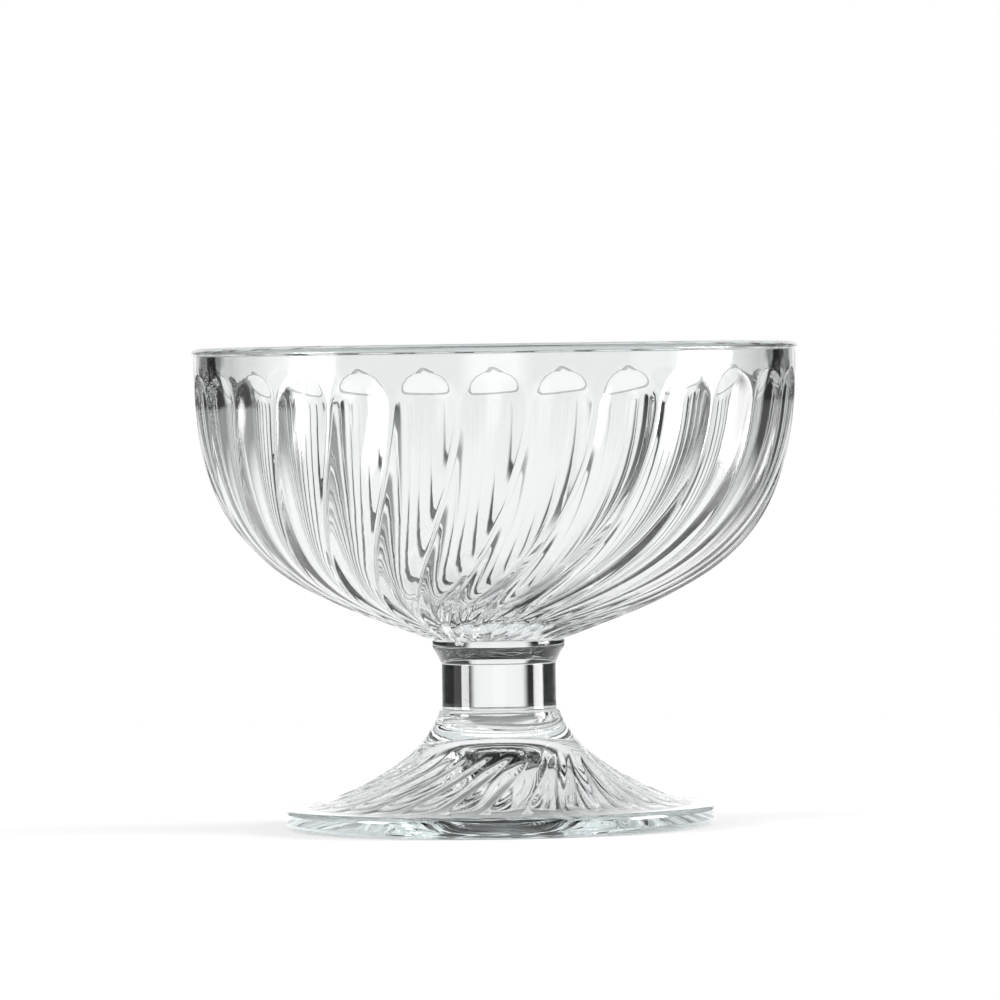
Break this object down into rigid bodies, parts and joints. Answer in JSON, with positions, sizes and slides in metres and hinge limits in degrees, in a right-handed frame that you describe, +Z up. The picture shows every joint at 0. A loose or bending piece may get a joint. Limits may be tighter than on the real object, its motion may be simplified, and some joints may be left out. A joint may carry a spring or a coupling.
{
  "type": "sundae dish",
  "caption": "Footed clear-glass sundae dish: open round bowl with swirled flutes, on a collar and a short solid stem above a flared, fluted foot. It stands on a flat ring.",
  "frame": {"origin": "centre of the flat ring that the foot stands on", "axes": "+Z up along the dish's axis of revolution, -Y towards the viewer of the picture, +X to the viewer's right"},
  "size_m": [0.1158, 0.1158, 0.0921],
  "materials": {
    "clear_glass": "fire-polished clear pressed glass with a faint green tint in its thick parts"
  },
  "bodies": {
    "root": {"foot": "clear_glass", "stem": "clear_glass", "collar": "clear_glass", "bowl": "clear_glass"}
  },
  "joints": []
}
